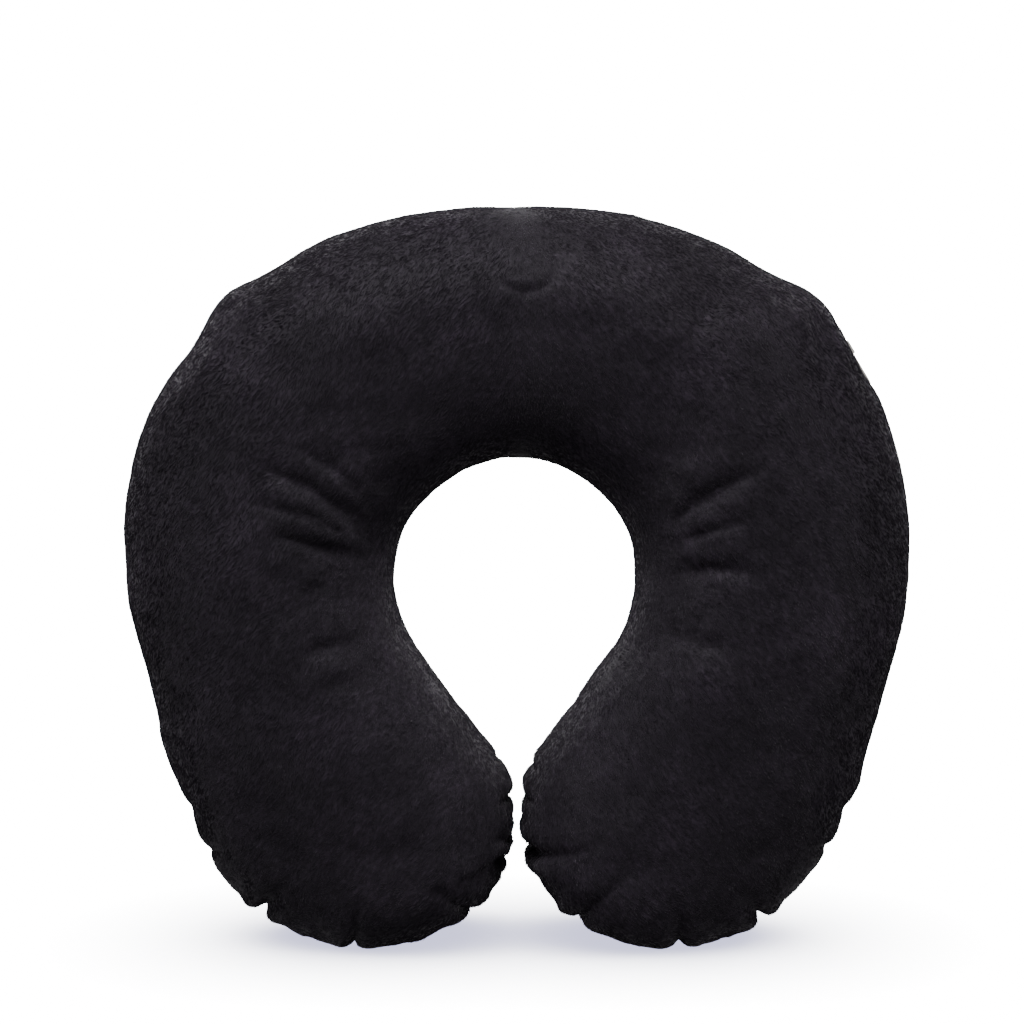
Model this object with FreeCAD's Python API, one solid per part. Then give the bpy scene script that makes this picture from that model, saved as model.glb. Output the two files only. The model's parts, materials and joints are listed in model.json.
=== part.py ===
import FreeCAD
import Part

# U-shaped inflatable neck pillow, standing on the two ends of its legs.
#
# It comes apart into three units. A plush cover of two sewn panels has a zip in the seam of its
# outer edge. A welded air bladder of two film panels fills the cover. A push-in air valve is
# welded into the bladder's front panel, near the top of the U.
#
# Millimetres. +Z is up and the pillow's front face looks along -Y. X = 0 is the plane of symmetry
# of the U. The origin is on the floor, under the middle of the pillow.
#
# The outline is a chain of tangent arcs and lines in the XZ plane. Angles on it are those of its
# outward normal, in degrees clockwise from +Z, so 0 is the crown, 90 the side and 180 the floor.

import math
import os

from FreeCAD import Vector

# ---- Outline of the cover -----------------------------------------------------------------------
OVERALL_WIDTH = 390.0
OVERALL_HEIGHT = 366.0
OVERALL_THICKNESS = 110.0
NECK_RADIUS = 59.0  # of the round neck opening
CROWN_WIDTH = 124.0  # of the tube, between the neck opening and the top edge
SIDE_RADIUS = 195.0  # of the round side
CROWN_RISE = 170.0  # from the centre of the round side up to the crown
CROWN_END = 28.0  # angle where the crown's flat arc meets the shoulder
SHOULDER_END = 54.0  # angle where the shoulder meets the round side
LEG_GAP = 6.0  # between the two feet
HEEL_INSET = 26.0  # from the widest point of the sides in to the widest point of a foot
HEEL_RADIUS = 98.0  # outer corner of a foot
TOE_RADIUS = 66.0  # inner corner of a foot
INSTEP_RADIUS = 59.0  # where a foot turns from the gap into the neck opening
GAP_RUN = 4.0  # height over which the feet lie side by side
FOOT_TIP = 210.0  # angle of the point where the tube closes
FLOOR_CRUSH = 3.0  # how far the floor flattens the round feet
SECTION_POWER = 2.2  # of the superellipse that the tube has for a section: 2 is an ellipse

# ---- Cover --------------------------------------------------------------------------------------
COVER_WALL = 2.2  # plush with its backing
SEAM_ALLOWANCE = 4.5  # how far the sewn edges turn inwards
ALLOWANCE_WALL = 1.2  # one turned-in edge, pressed flat
THREAD = 0.7  # of sewing thread, which is modelled square
THREAD_INSET = 1.6  # of the seam's thread, from the cover's inside

# ---- Air bladder --------------------------------------------------------------------------------
BLADDER_WALL = 0.5
BLADDER_FACE_GAP = 0.8  # from the cover's inside, at the middle of a face
WELD_WIDTH = 4.0
WELD_THICKNESS = 1.0
WELD_CLEARANCE = 0.6  # from the back of the zip's slider to the weld's edge

# ---- Zip ----------------------------------------------------------------------------------------
ZIP_TOP_ROOM = 4.7  # degrees of slot past the slider, when closed
PULL_ROOM = 2.5  # of slot past the end of the pull, when open
SLOT_CLEARANCE = 0.7  # from the slider to each panel's edge
ZIP_LIP = 1.2  # of each panel's edge, turned in down to the tape
TAPE_OVERRUN = 2.0  # degrees of tape past each end of the slot
TAPE_WIDTH = 12.0
TAPE_WALL = 0.6
COIL_WIDTH = 2.7
COIL_HEIGHT = 2.4
COIL_PITCH = 1.7
COIL_RIB = 0.55  # share of the pitch that each turn's rib takes
COIL_GROOVE = 0.4
COIL_GAP = 1.0  # between the two rows, where the slider's web runs
LOOP_SINK = 0.2  # from the cover's edge down to the top of the slider's loop
ZIP_CLEARANCE = 0.3  # between the slider and what it runs over

SLIDER_LENGTH = 12.0
SLIDER_PLATE = 1.0
SLIDER_FLANGE = 1.0
SLIDER_WEB_LENGTH = 5.0
SLIDER_WEB_CLEARANCE = 0.2
CROWN_BAR = 1.0  # thickness of the loop that holds the pull
CROWN_LOOP_LENGTH = 7.0
CROWN_LOOP_WIDTH = 2.4
PIN_RADIUS = 0.7  # of the pull's cross bar, which turns under the loop
PIN_CLEARANCE = 0.15
PULL_LENGTH = 21.0
PULL_WIDTH = 7.0
PULL_WALL = 1.1
PULL_EYE_LENGTH = 5.0  # from the pin to the far end of the eye
PULL_EYE_HALF = 1.8
PULL_HOLE = 3.6  # diameter of the hole near the pull's round end
STOP_LENGTH = 3.0

# ---- Valve --------------------------------------------------------------------------------------
VALVE_SECTION_ANGLE = 52.0  # round the tube, from its outer edge towards the front face
FLANGE_WIDTH = 5.0  # welded to the film, round the well
VALVE_OFFSET = 4.0  # on X, from the middle of the crown
VALVE_WALL = 1.0
WELL_DEPTH = 22.0
STEM_RADIUS = 4.5
STEM_BORE = 2.6
STEM_TOP = 13.0  # below the film, as all the depths here
GUIDE_LENGTH = 7.0
STEM_CLEARANCE = 0.1
COLLAR_WIDTH = 2.0
COLLAR_WALL = 1.2
COLLAR_REST = 0.3  # over the well's floor, when pushed in
PLUG_HEAD_OVERLAP = 1.0  # past the mouthpiece, all round
PLUG_HEAD_WALL = 2.0
PLUG_PIN_LENGTH = 4.0
PLUG_REST = 0.3  # under the head, when pushed in
PLUG_CLEARANCE = 0.05
FLAP_OVERLAP = 1.2  # past the bore, all round
FLAP_WALL = 0.5
FLAP_GAP = 0.05
TETHER_WALL = 0.8
TETHER_WIDTH = 2.0
TETHER_CLEARANCE = 0.9  # from the well's wall

# ---- Modelling detail ---------------------------------------------------------------------------
RING_STATIONS = 20  # sections along each half of the ring
FOOT_STATIONS = 14  # sections along each foot
SECTION_POINTS = 17  # across each half section

SIDE_CENTRE = (OVERALL_WIDTH / 2 - SIDE_RADIUS, OVERALL_HEIGHT - CROWN_RISE)
NECK_CENTRE = (0.0, OVERALL_HEIGHT - CROWN_WIDTH - NECK_RADIUS)
HEEL_CENTRE = (OVERALL_WIDTH / 2 - HEEL_INSET - HEEL_RADIUS, HEEL_RADIUS - FLOOR_CRUSH)
TOE_CENTRE = (LEG_GAP / 2 + TOE_RADIUS, TOE_RADIUS - FLOOR_CRUSH)
INSTEP_CENTRE = (LEG_GAP / 2 + INSTEP_RADIUS, TOE_CENTRE[1] + GAP_RUN)
HALF_THICKNESS = OVERALL_THICKNESS / 2

COIL_EDGE = COIL_GAP / 2 + COIL_WIDTH
SLIDER_HALF_WIDTH = COIL_EDGE + ZIP_CLEARANCE + SLIDER_FLANGE
ZIP_SLOT_HALF = SLIDER_HALF_WIDTH + SLOT_CLEARANCE
LOOP_HEIGHT = 2 * (PIN_RADIUS + PIN_CLEARANCE) + CROWN_BAR
COIL_DEPTH = LOOP_SINK + LOOP_HEIGHT + SLIDER_PLATE + ZIP_CLEARANCE + COIL_HEIGHT / 2
SLIDER_DEPTH = COIL_DEPTH + COIL_HEIGHT / 2 + ZIP_CLEARANCE + SLIDER_PLATE

WELD_INSET = max(SLIDER_DEPTH, COVER_WALL + SEAM_ALLOWANCE) + WELD_CLEARANCE
BLADDER_INSET = WELD_INSET + WELD_WIDTH
BLADDER_SINK = COVER_WALL + BLADDER_FACE_GAP


# ---- Outline ------------------------------------------------------------------------------------
def normal(angle):
    """Unit vector (x, z) at an angle on the outline."""
    return math.sin(math.radians(angle)), math.cos(math.radians(angle))


def on_circle(centre, radius, angle):
    nx, nz = normal(angle)
    return centre[0] + radius * nx, centre[1] + radius * nz


def crown_radii():
    """Radii of the crown's arc and of the shoulder's, so that both meet the round side tangent."""
    s1, c1 = normal(CROWN_END)
    s2, c2 = normal(SHOULDER_END)
    across, down = on_circle(SIDE_CENTRE, SIDE_RADIUS, SHOULDER_END)
    down = OVERALL_HEIGHT - down
    a, b, c, d = s1, s2 - s1, 1 - c1, c1 - c2
    det = a * d - b * c
    return (across * d - b * down) / det, (a * down - c * across) / det


def tangent_angle(from_centre, to_centre, reach):
    """Angle of the outward normal of the line whose distances from the two centres differ by reach."""
    dx, dz = to_centre[0] - from_centre[0], to_centre[1] - from_centre[1]
    return math.degrees(math.atan2(dx, dz) - math.acos(reach / math.hypot(dx, dz))) % 360


CROWN_RADIUS, SHOULDER_RADIUS = crown_radii()
CROWN_CENTRE = (0.0, OVERALL_HEIGHT - CROWN_RADIUS)
SHOULDER_CENTRE = on_circle(CROWN_CENTRE, CROWN_RADIUS - SHOULDER_RADIUS, CROWN_END)
FLANK_ANGLE = tangent_angle(SIDE_CENTRE, HEEL_CENTRE, SIDE_RADIUS - HEEL_RADIUS)
INSTEP_ANGLE = tangent_angle(INSTEP_CENTRE, NECK_CENTRE, INSTEP_RADIUS + NECK_RADIUS)


class Arc:
    """An arc between two angles. An inside arc, such as the neck opening's, bends the other way."""

    def __init__(self, centre, radius, start, end, inside=False):
        self.centre, self.radius, self.start, self.end = centre, radius, start, end
        self.side = -1 if inside else 1
        self.length = abs(math.radians(end - start)) * radius

    def at(self, share):
        angle = self.start + share * (self.end - self.start)
        return on_circle(self.centre, self.side * self.radius, angle)


class Line:
    def __init__(self, start, end):
        self.start, self.end = start, end
        self.length = math.dist(start, end)

    def at(self, share):
        return tuple(a + share * (b - a) for a, b in zip(self.start, self.end))


def chain(arcs):
    """The arcs with a line between each two that don't already meet."""
    joined = [arcs[0]]
    for arc in arcs[1:]:
        start, end = joined[-1].at(1), arc.at(0)
        if math.dist(start, end) > 1e-6:
            joined.append(Line(start, end))
        joined.append(arc)
    return joined


def outline_runs(inset):
    """The right half of the outline, moved inwards, as four runs that all lead towards the foot's
    tip: round the outside of the ring, round its inside, and the same two along the foot."""
    ring_outside = chain([
        Arc(CROWN_CENTRE, CROWN_RADIUS - inset, 0, CROWN_END),
        Arc(SHOULDER_CENTRE, SHOULDER_RADIUS - inset, CROWN_END, SHOULDER_END),
        Arc(SIDE_CENTRE, SIDE_RADIUS - inset, SHOULDER_END, FLANK_ANGLE),
    ])
    heel = Arc(HEEL_CENTRE, HEEL_RADIUS - inset, FLANK_ANGLE, 180)
    ring_outside.append(Line(ring_outside[-1].at(1), heel.at(0)))
    foot_outside = chain([heel, Arc(TOE_CENTRE, TOE_RADIUS - inset, 180, FOOT_TIP)])
    ring_inside = [Arc(NECK_CENTRE, NECK_RADIUS + inset, 180, INSTEP_ANGLE, inside=True)]
    foot_inside = chain([
        ring_inside[0],
        Arc(INSTEP_CENTRE, INSTEP_RADIUS - inset, INSTEP_ANGLE, 270),
        Arc(TOE_CENTRE, TOE_RADIUS - inset, 270, FOOT_TIP),
    ])[1:]
    return ring_outside, ring_inside, foot_outside, foot_inside


def along(run, share):
    """The point at a share of a run's length."""
    left = share * sum(part.length for part in run)
    for part in run:
        if left <= part.length + 1e-9:
            return part.at(min(1.0, left / part.length))
        left -= part.length
    return run[-1].at(1)


def stations(inset):
    """(outer point, inner point) of each section of the right half, from the crown to the tip."""
    ring_out, ring_in, foot_out, foot_in = outline_runs(inset)
    found = [
        (along(ring_out, k / RING_STATIONS), along(ring_in, k / RING_STATIONS))
        for k in range(RING_STATIONS)
    ]
    for k in range(FOOT_STATIONS + 1):
        share = k / FOOT_STATIONS
        found.append((along(foot_out, share), along(foot_in, share)))
    return found


# ---- Padded bodies ------------------------------------------------------------------------------
def half_section(outer, inner, depth, side):
    """Points of one section's front (side -1) or back (side 1) half, from the outer edge inwards."""
    middle = Vector((outer[0] + inner[0]) / 2, 0, (outer[1] + inner[1]) / 2)
    reach = Vector((outer[0] - inner[0]) / 2, 0, (outer[1] - inner[1]) / 2)
    points = []
    for k in range(SECTION_POINTS):
        turn = math.pi * k / (SECTION_POINTS - 1)
        c, s = math.cos(turn), math.sin(turn)
        across = math.copysign(abs(c) ** (2 / SECTION_POWER), c)
        out = abs(s) ** (2 / SECTION_POWER) if 0 < k < SECTION_POINTS - 1 else 0.0
        points.append(middle + reach * across + Vector(0, side * depth * out, 0))
    return points


def sections(inset, sink, lift):
    """(outer point, inner point, bulge) from the crown to the tip of the right foot."""
    pairs = stations(inset)
    full_width = math.dist(*pairs[RING_STATIONS])
    found = []
    for outer, inner in pairs:
        share = min(1.0, math.dist(outer, inner) / full_width)
        found.append((outer, inner, (HALF_THICKNESS - sink - lift) * math.sin(math.pi / 2 * share)))
    return found


def skin_and_rim(inset, sink, lift, side):
    """The curved face of the tube's front or back half, and the closed edge round it. It starts at
    a height (lift) off the middle plane."""
    right = sections(inset, sink, lift)
    left = [((-o[0], o[1]), (-i[0], i[1]), depth) for o, i, depth in right[:0:-1]]
    surface = Part.BSplineSurface()
    surface.interpolate([half_section(o, i, depth, side) for o, i, depth in left + right])
    skin = surface.toShape()
    skin.translate(Vector(0, side * lift, 0))
    return skin, Part.Wire([e for e in skin.Edges if not e.Degenerated])


def padded_half(inset, sink, lift, side):
    """The solid front or back half of the tube, inset at its edge and sunk at its faces. The feet
    are flattened by the floor, so their ends are sunk too."""
    skin, rim = skin_and_rim(inset, sink, lift, side)
    shell = Part.Shell([skin, Part.Face(rim)])
    shell.sewShape()
    body = Part.Solid(shell)
    if body.Volume < 0:
        body.reverse()
    return body.common(above(sink))


def above(height):
    """All the space over a height, as a box."""
    size = 2 * OVERALL_WIDTH
    return Part.makeBox(size, size, size, Vector(-size / 2, -size / 2, height))


def shell_half(inset, sink, lift, wall, side):
    return padded_half(inset, sink, lift, side).cut(padded_half(inset + wall, sink + wall, lift, side))


def slab(inset, y0, y1):
    """Everything inside the outline, between two heights on Y."""
    rim = skin_and_rim(inset, 0, 0, 1)[1]
    rim.translate(Vector(0, y0, 0))
    return Part.Face(rim).extrude(Vector(0, y1 - y0, 0)).common(above(0))


def band(inset, width, y0, y1):
    """A flat band that follows the whole outline, between two heights on Y."""
    return slab(inset, y0, y1).cut(slab(inset + width, y0, y1))


# ---- Parts that follow the round side -----------------------------------------------------------
def round_side(shape, angle):
    """A shape built over the crown, turned about the centre of the round side."""
    turned = shape.copy()
    turned.rotate(Vector(SIDE_CENTRE[0], 0, SIDE_CENTRE[1]), Vector(0, 1, 0), angle)
    return turned


def sector(inner, outer, y0, y1, start, end):
    """A curved bar between two radii, two heights on Y and two angles on the round side."""
    x, z = SIDE_CENTRE
    corners = [Vector(x, y, z + r) for r, y in ((inner, y0), (outer, y0), (outer, y1), (inner, y1))]
    face = Part.Face(Part.makePolygon(corners + corners[:1]))
    bar = face.revolve(Vector(SIDE_CENTRE[0], 0, SIDE_CENTRE[1]), Vector(0, 1, 0), end - start)
    return round_side(bar, start)


def degrees_of(length, radius):
    return math.degrees(length / radius)


COIL_MIDDLE = SIDE_RADIUS - COIL_DEPTH
TAPE_TOP = COIL_MIDDLE + TAPE_WALL / 2
COIL_TOP = COIL_MIDDLE + COIL_HEIGHT / 2
COIL_BOTTOM = COIL_MIDDLE - COIL_HEIGHT / 2
SLOT_START = SHOULDER_END
SLOT_END = FLANK_ANGLE
ZIP_TOP = SLOT_START + ZIP_TOP_ROOM  # angle of the slider when the zip is closed
ZIP_TRAVEL = SLOT_END - ZIP_TOP - degrees_of(PULL_LENGTH + PULL_ROOM, COIL_MIDDLE)
SLIDER_HALF = degrees_of(SLIDER_LENGTH / 2, COIL_MIDDLE)
STOP_SPAN = degrees_of(STOP_LENGTH, COIL_MIDDLE)
RUN_GAP = degrees_of(ZIP_CLEARANCE, COIL_MIDDLE)
CHAIN_START = ZIP_TOP - SLIDER_HALF - RUN_GAP
CHAIN_END = ZIP_TOP + ZIP_TRAVEL + SLIDER_HALF + RUN_GAP


def both_sides(y0, y1, side):
    """Two heights on Y, in order, for a part on the front (side -1) or the back (side 1)."""
    return (y0, y1) if side > 0 else (-y1, -y0)


def slot():
    """The opening of the zip, cut through both panels' edges."""
    depth = COVER_WALL + SEAM_ALLOWANCE + ZIP_CLEARANCE
    margin = COVER_WALL
    return sector(SIDE_RADIUS - depth, SIDE_RADIUS + margin, -ZIP_SLOT_HALF, ZIP_SLOT_HALF, SLOT_START, SLOT_END)


def slot_lip(side):
    """The panel's edge along the slot, turned in down to the tape."""
    y0, y1 = both_sides(ZIP_SLOT_HALF, ZIP_SLOT_HALF + ZIP_LIP, side)
    return sector(TAPE_TOP, SIDE_RADIUS - COVER_WALL / 2, y0, y1, SLOT_START, SLOT_END)


def cover_panel(side):
    y0, y1 = both_sides(0, ALLOWANCE_WALL, side)
    allowance = band(0, COVER_WALL + SEAM_ALLOWANCE, y0, y1)
    panel = shell_half(0, 0, ALLOWANCE_WALL, COVER_WALL, side).fuse(allowance)
    return panel.cut(seam_thread()).cut(slot()).fuse(slot_lip(side)).removeSplitter()


def seam_thread():
    ring = band(COVER_WALL + THREAD_INSET, THREAD, -THREAD / 2, THREAD / 2)
    return ring.cut(slot())


def zip_tape(side):
    y0, y1 = both_sides(COIL_EDGE, COIL_EDGE + TAPE_WIDTH, side)
    return sector(TAPE_TOP - TAPE_WALL, TAPE_TOP, y0, y1, SLOT_START - TAPE_OVERRUN, SLOT_END + TAPE_OVERRUN)


def zip_coil(side):
    """One row of the coil: a ribbed bar with one rib for each turn."""
    y0, y1 = both_sides(COIL_GAP / 2, COIL_EDGE, side)
    turns = round(math.radians(CHAIN_END - CHAIN_START) * COIL_MIDDLE / COIL_PITCH)
    step = (CHAIN_END - CHAIN_START) / turns
    top, bottom = [], []
    for k in range(turns):
        for share, groove in ((0, 0), (COIL_RIB, 0), (COIL_RIB, COIL_GROOVE), (1, COIL_GROOVE)):
            angle = CHAIN_START + (k + share) * step
            top.append(on_circle(SIDE_CENTRE, COIL_TOP - groove, angle))
            bottom.append(on_circle(SIDE_CENTRE, COIL_BOTTOM + groove, angle))
    outline = [Vector(x, y0, z) for x, z in top + bottom[::-1]]
    return Part.Face(Part.makePolygon(outline + outline[:1])).extrude(Vector(0, y1 - y0, 0))


def zip_stitch(side):
    """Thread along the foot of the lip, on the tape's outer face."""
    y0, y1 = both_sides(ZIP_SLOT_HALF + ZIP_LIP, ZIP_SLOT_HALF + ZIP_LIP + THREAD, side)
    return sector(TAPE_TOP, TAPE_TOP + THREAD / 2, y0, y1, SLOT_START, SLOT_END)


def top_stop(side):
    y0, y1 = both_sides(COIL_GAP / 2, COIL_EDGE, side)
    return sector(COIL_BOTTOM, COIL_TOP, y0, y1, CHAIN_START - STOP_SPAN, CHAIN_START)


def bottom_stop():
    return sector(COIL_BOTTOM, COIL_TOP, -COIL_EDGE, COIL_EDGE, CHAIN_END, CHAIN_END + STOP_SPAN)


PLATE_IN = COIL_TOP + ZIP_CLEARANCE  # the slider's outer plate
PLATE_OUT = PLATE_IN + SLIDER_PLATE
PIN_HEIGHT = PLATE_OUT + PIN_CLEARANCE + PIN_RADIUS
LOOP_IN = PIN_HEIGHT + PIN_RADIUS + PIN_CLEARANCE


def zip_slider():
    """Two plates joined by a web at the nose, with flanges that hold the rows of teeth and a loop
    on top for the pull."""
    flange_in = COIL_EDGE + ZIP_CLEARANCE
    half = SLIDER_HALF_WIDTH
    back_in = COIL_BOTTOM - ZIP_CLEARANCE - SLIDER_PLATE
    plates = sector(back_in, PLATE_OUT, -half, half, -SLIDER_HALF, SLIDER_HALF)
    tunnel = sector(COIL_BOTTOM - ZIP_CLEARANCE, PLATE_IN, -flange_in, flange_in, -2 * SLIDER_HALF, 2 * SLIDER_HALF)
    side_in, side_out = TAPE_TOP - TAPE_WALL - ZIP_CLEARANCE, TAPE_TOP + ZIP_CLEARANCE
    sides = sector(side_in, side_out, -2 * half, 2 * half, -2 * SLIDER_HALF, 2 * SLIDER_HALF)
    web_half = COIL_GAP / 2 - SLIDER_WEB_CLEARANCE
    web_end = degrees_of(SLIDER_WEB_LENGTH, COIL_MIDDLE) - SLIDER_HALF
    web = sector(back_in, PLATE_OUT, -web_half, web_half, -SLIDER_HALF, web_end)
    body = plates.cut(tunnel).cut(sides).fuse(web)
    loop_span = degrees_of(CROWN_LOOP_LENGTH / 2, PIN_HEIGHT)
    eye_span = degrees_of(CROWN_LOOP_LENGTH / 2 - CROWN_BAR, PIN_HEIGHT)
    loop_half = CROWN_LOOP_WIDTH / 2
    loop = sector(PLATE_OUT - SLIDER_PLATE / 2, LOOP_IN + CROWN_BAR, -loop_half, loop_half, -loop_span, loop_span)
    eye = sector(PLATE_OUT, LOOP_IN, -half, half, -eye_span, eye_span)
    return round_side(body.fuse(loop.cut(eye)).removeSplitter(), ZIP_TOP)


def zip_pull():
    """A plate with an eye. Its round cross bar lies under the slider's loop and it points down the
    chain. It is built at the crown, where the chain runs along +X."""
    x, z = SIDE_CENTRE[0], SIDE_CENTRE[1] + PIN_HEIGHT
    half = PULL_WIDTH / 2
    run = PULL_LENGTH - half
    bar = Part.makeCylinder(PIN_RADIUS, PULL_WIDTH, Vector(x, -half, z), Vector(0, 1, 0))
    plate = Part.makeBox(run, PULL_WIDTH, PULL_WALL, Vector(x, -half, z - PULL_WALL / 2))
    tip = Part.makeCylinder(half, PULL_WALL, Vector(x + run, 0, z - PULL_WALL / 2))
    eye = Part.makeBox(PULL_EYE_LENGTH, 2 * PULL_EYE_HALF, 2 * PULL_WALL, Vector(x, -PULL_EYE_HALF, z - PULL_WALL))
    hole = Part.makeCylinder(PULL_HOLE / 2, 2 * PULL_WALL, Vector(x + run, 0, z - PULL_WALL))
    body = plate.fuse(tip).cut(eye).cut(hole).fuse(bar)
    return round_side(body.removeSplitter(), ZIP_TOP)


# ---- Bladder and valve --------------------------------------------------------------------------
def valve_place(shape):
    """From the valve's own frame, where +Z points out of the film and 0 is on it, to the pillow."""
    outer, inner, depth = sections(BLADDER_INSET, BLADDER_SINK, WELD_THICKNESS / 2)[0]
    turn = math.radians(VALVE_SECTION_ANGLE)
    across, out = math.cos(turn) ** (2 / SECTION_POWER), math.sin(turn) ** (2 / SECTION_POWER)
    middle, reach = (outer[1] + inner[1]) / 2, (outer[1] - inner[1]) / 2
    slope_z = across ** (SECTION_POWER - 1) / reach
    slope_y = out ** (SECTION_POWER - 1) / depth
    placed = shape.copy()
    placed.rotate(Vector(), Vector(1, 0, 0), math.degrees(math.atan2(slope_y, slope_z)))
    placed.translate(Vector(VALVE_OFFSET, -WELD_THICKNESS / 2 - depth * out, middle + reach * across))
    return placed


def disc(radius, top, bottom):
    """A round plug in the valve's frame, between two depths below the film."""
    return Part.makeCylinder(radius, bottom - top, Vector(0, 0, -bottom))


def bladder_panel(side):
    panel = shell_half(BLADDER_INSET, BLADDER_SINK, WELD_THICKNESS / 2, BLADDER_WALL, side)
    if side < 0:
        panel = panel.cut(valve_place(disc(WELL_RADIUS + VALVE_WALL, -WELL_RADIUS, WELL_RADIUS)))
    return panel


def bladder_weld():
    """The flat weld round the bladder: both films fused together."""
    return band(WELD_INSET, WELD_WIDTH + BLADDER_WALL, -WELD_THICKNESS / 2, WELD_THICKNESS / 2)


COLLAR_RADIUS = STEM_RADIUS + COLLAR_WIDTH
WELL_RADIUS = COLLAR_RADIUS + 2 * TETHER_WALL + TETHER_CLEARANCE
VALVE_RADIUS = WELL_RADIUS + VALVE_WALL + FLANGE_WIDTH
PLUG_HEAD_RADIUS = STEM_RADIUS + PLUG_HEAD_OVERLAP
FLAP_RADIUS = STEM_BORE + FLAP_OVERLAP
GUIDE_RADIUS = STEM_RADIUS + STEM_CLEARANCE
GUIDE_BOTTOM = WELL_DEPTH + VALVE_WALL + GUIDE_LENGTH
STEM_BOTTOM = GUIDE_BOTTOM - VALVE_WALL
COLLAR_BOTTOM = WELL_DEPTH - COLLAR_REST
PLUG_BOTTOM = STEM_TOP - PLUG_REST
PLUG_TOP = PLUG_BOTTOM - PLUG_HEAD_WALL


def valve_body():
    """A flange that follows the inside of the film, with a well and a guide for the mouthpiece."""
    lift = WELD_THICKNESS / 2
    layer = shell_half(BLADDER_INSET + BLADDER_WALL, BLADDER_SINK + BLADDER_WALL, lift, VALVE_WALL, -1)
    flange = layer.common(valve_place(disc(VALVE_RADIUS, -WELL_RADIUS, WELL_RADIUS)))
    cup = disc(WELL_RADIUS + VALVE_WALL, -WELL_RADIUS, WELL_DEPTH + VALVE_WALL)
    cup = cup.fuse(disc(GUIDE_RADIUS + VALVE_WALL, WELL_DEPTH, GUIDE_BOTTOM))
    cup = valve_place(cup).common(padded_half(BLADDER_INSET, BLADDER_SINK, lift, -1))
    body = flange.fuse(cup)
    body = body.cut(valve_place(disc(WELL_RADIUS, -WELL_RADIUS, WELL_DEPTH)))
    return body.cut(valve_place(disc(GUIDE_RADIUS, 0, GUIDE_BOTTOM + VALVE_WALL)))


def valve_stem():
    tube = disc(STEM_RADIUS, STEM_TOP, STEM_BOTTOM).fuse(disc(COLLAR_RADIUS, COLLAR_BOTTOM - COLLAR_WALL, COLLAR_BOTTOM))
    return valve_place(tube.cut(disc(STEM_BORE, 0, GUIDE_BOTTOM)))


def valve_flap():
    return valve_place(disc(FLAP_RADIUS, STEM_BOTTOM + FLAP_GAP, STEM_BOTTOM + FLAP_GAP + FLAP_WALL))


def valve_plug():
    head = disc(PLUG_HEAD_RADIUS, PLUG_TOP, PLUG_BOTTOM)
    return valve_place(head.fuse(disc(STEM_BORE - PLUG_CLEARANCE, PLUG_BOTTOM, STEM_TOP + PLUG_PIN_LENGTH)))


def valve_tether():
    """A strap from the side of the plug's head to the side of the collar."""
    top, bottom = PLUG_TOP, COLLAR_BOTTOM
    reach = COLLAR_RADIUS + 2 * TETHER_WALL
    block = Part.makeBox(reach, TETHER_WIDTH, bottom - top, Vector(0, -TETHER_WIDTH / 2, -bottom))
    inside = Part.makeBox(
        reach - TETHER_WALL,
        TETHER_WIDTH,
        bottom - top - 2 * TETHER_WALL,
        Vector(0, -TETHER_WIDTH / 2, TETHER_WALL - bottom),
    )
    strap = block.cut(inside)
    strap = strap.cut(disc(PLUG_HEAD_RADIUS, top, PLUG_BOTTOM))
    return valve_place(strap.cut(disc(COLLAR_RADIUS, STEM_TOP, bottom)))


NODES = {
    "cover_front_panel": lambda: cover_panel(-1),
    "cover_back_panel": lambda: cover_panel(1),
    "cover_seam_thread": seam_thread,
    "zip_tape_front": lambda: zip_tape(-1),
    "zip_tape_back": lambda: zip_tape(1),
    "zip_coil_front": lambda: zip_coil(-1),
    "zip_coil_back": lambda: zip_coil(1),
    "zip_stitch_front": lambda: zip_stitch(-1),
    "zip_stitch_back": lambda: zip_stitch(1),
    "zip_top_stop_front": lambda: top_stop(-1),
    "zip_top_stop_back": lambda: top_stop(1),
    "zip_bottom_stop": bottom_stop,
    "zip_slider": zip_slider,
    "zip_pull_tab": zip_pull,
    "bladder_front_panel": lambda: bladder_panel(-1),
    "bladder_back_panel": lambda: bladder_panel(1),
    "bladder_weld_seam": bladder_weld,
    "valve_body": valve_body,
    "valve_stem": valve_stem,
    "valve_check_flap": valve_flap,
    "valve_plug": valve_plug,
    "valve_tether": valve_tether,
}

os.makedirs("parts", exist_ok=True)
for name, build in NODES.items():
    shape = build()
    shape.exportStep(f"parts/{name}.step")
    print(name, len(shape.Solids), round(shape.Volume, 1), shape.isValid())
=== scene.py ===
import json
import math

import bpy
import numpy as np
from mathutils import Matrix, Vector
from mathutils.kdtree import KDTree


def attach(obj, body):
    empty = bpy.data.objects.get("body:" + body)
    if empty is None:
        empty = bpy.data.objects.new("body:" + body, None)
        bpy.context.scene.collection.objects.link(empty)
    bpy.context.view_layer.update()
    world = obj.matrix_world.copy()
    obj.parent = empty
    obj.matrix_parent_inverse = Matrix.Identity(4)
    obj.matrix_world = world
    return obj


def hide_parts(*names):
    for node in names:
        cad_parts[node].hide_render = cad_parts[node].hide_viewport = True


# The plush cover of the u-shaped neck pillow, its zip and its air valve. Metres, in the CAD frame.
# The cover is a tube whose outline is a chain of tangent arcs. Millimetres are used up to the mesh.

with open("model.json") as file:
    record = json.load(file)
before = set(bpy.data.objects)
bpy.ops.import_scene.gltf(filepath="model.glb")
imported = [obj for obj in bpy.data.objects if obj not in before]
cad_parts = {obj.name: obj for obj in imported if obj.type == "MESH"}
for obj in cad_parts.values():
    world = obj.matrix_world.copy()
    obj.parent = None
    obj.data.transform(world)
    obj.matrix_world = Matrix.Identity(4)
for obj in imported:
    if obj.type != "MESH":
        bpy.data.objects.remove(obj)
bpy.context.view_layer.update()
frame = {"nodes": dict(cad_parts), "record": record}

MM = 0.001
rng = np.random.default_rng(7)

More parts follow.
